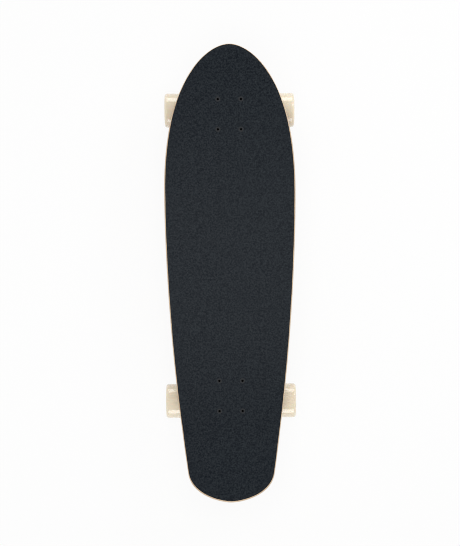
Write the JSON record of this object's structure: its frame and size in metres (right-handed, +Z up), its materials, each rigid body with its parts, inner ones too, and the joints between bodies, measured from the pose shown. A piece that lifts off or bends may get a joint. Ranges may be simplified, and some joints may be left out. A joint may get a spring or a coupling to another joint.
{
  "type": "cruiser skateboard",
  "caption": "Cruiser skateboard: pressed maple deck with a kicktail and grip tape, on steering kingpin trucks with urethane bushings and free-spinning urethane wheels.",
  "frame": {"origin": "on the floor, under the middle of the board's length and width", "axes": "+Y towards the nose, +Z up, +X to the right when facing the nose"},
  "size_m": [0.2354, 0.8151, 0.1396],
  "materials": {
    "maple": "clear satin lacquer on pressed veneer",
    "grip": "black grit on film, matte",
    "black_steel": "black oxide, satin",
    "steel": "zinc plated and ground, satin",
    "cast_aluminium": "tumbled casting, satin",
    "riser": "moulded, matte",
    "bushing": "cast urethane, satin",
    "pivot_cup": "moulded urethane, matte",
    "wheel": "cast cream urethane, smooth gloss"
  },
  "bodies": {
    "board": {"deck": "maple", "grip_tape": "grip", "front_riser_pad": "riser", "front_deck_bolt_1": "black_steel", "front_deck_nut_1": "steel", "front_deck_bolt_2": "black_steel", "front_deck_nut_2": "steel", "front_deck_bolt_3": "black_steel", "front_deck_nut_3": "steel", "front_deck_bolt_4": "black_steel", "front_deck_nut_4": "steel", "front_baseplate": "cast_aluminium", "front_pivot_cup": "pivot_cup", "front_kingpin": "black_steel", "front_kingpin_nut": "steel", "front_board_side_washer": "steel", "front_board_side_bushing": "bushing", "front_road_side_bushing": "bushing", "front_road_side_washer": "steel", "rear_riser_pad": "riser", "rear_deck_bolt_1": "black_steel", "rear_deck_nut_1": "steel", "rear_deck_bolt_2": "black_steel", "rear_deck_nut_2": "steel", "rear_deck_bolt_3": "black_steel", "rear_deck_nut_3": "steel", "rear_deck_bolt_4": "black_steel", "rear_deck_nut_4": "steel", "rear_baseplate": "cast_aluminium", "rear_pivot_cup": "pivot_cup", "rear_kingpin": "black_steel", "rear_kingpin_nut": "steel", "rear_board_side_washer": "steel", "rear_board_side_bushing": "bushing", "rear_road_side_bushing": "bushing", "rear_road_side_washer": "steel"},
    "front_truck_hanger": {"front_hanger": "cast_aluminium", "front_axle": "steel", "front_left_axle_stack": "steel", "front_left_axle_nut": "steel", "front_right_axle_stack": "steel", "front_right_axle_nut": "steel"},
    "rear_truck_hanger": {"rear_hanger": "cast_aluminium", "rear_axle": "steel", "rear_left_axle_stack": "steel", "rear_left_axle_nut": "steel", "rear_right_axle_stack": "steel", "rear_right_axle_nut": "steel"},
    "front_left_wheel_set": {"front_left_wheel": "wheel", "front_left_outer_bearing": "steel", "front_left_inner_bearing": "steel"},
    "front_right_wheel_set": {"front_right_wheel": "wheel", "front_right_outer_bearing": "steel", "front_right_inner_bearing": "steel"},
    "rear_left_wheel_set": {"rear_left_wheel": "wheel", "rear_left_outer_bearing": "steel", "rear_left_inner_bearing": "steel"},
    "rear_right_wheel_set": {"rear_right_wheel": "wheel", "rear_right_outer_bearing": "steel", "rear_right_inner_bearing": "steel"}
  },
  "joints": [
    {"name": "front_steer", "type": "hinge", "parent": "board", "child": "front_truck_hanger", "pos_m": [0, 0.27241, 0.05222], "axis": [0, 0.8779, 0.4789], "range_deg": [-10, 10], "stiffness_Nm_per_rad": 60, "deforming": ["front_board_side_bushing", "front_road_side_bushing"]},
    {"name": "rear_steer", "type": "hinge", "parent": "board", "child": "rear_truck_hanger", "pos_m": [0, -0.21237, 0.05222], "axis": [0, -0.8779, 0.4789], "range_deg": [-10, 10], "stiffness_Nm_per_rad": 60, "deforming": ["rear_board_side_bushing", "rear_road_side_bushing"]},
    {"name": "front_left_spin", "type": "hinge", "parent": "front_truck_hanger", "child": "front_left_wheel_set", "pos_m": [-0.0901, 0.29461, 0.031], "axis": [1, 0, 0], "continuous": true},
    {"name": "front_right_spin", "type": "hinge", "parent": "front_truck_hanger", "child": "front_right_wheel_set", "pos_m": [0.0901, 0.29461, 0.031], "axis": [1, 0, 0], "continuous": true},
    {"name": "rear_left_spin", "type": "hinge", "parent": "rear_truck_hanger", "child": "rear_left_wheel_set", "pos_m": [-0.0901, -0.23457, 0.031], "axis": [1, 0, 0], "continuous": true},
    {"name": "rear_right_spin", "type": "hinge", "parent": "rear_truck_hanger", "child": "rear_right_wheel_set", "pos_m": [0.0901, -0.23457, 0.031], "axis": [1, 0, 0], "continuous": true}
  ]
}
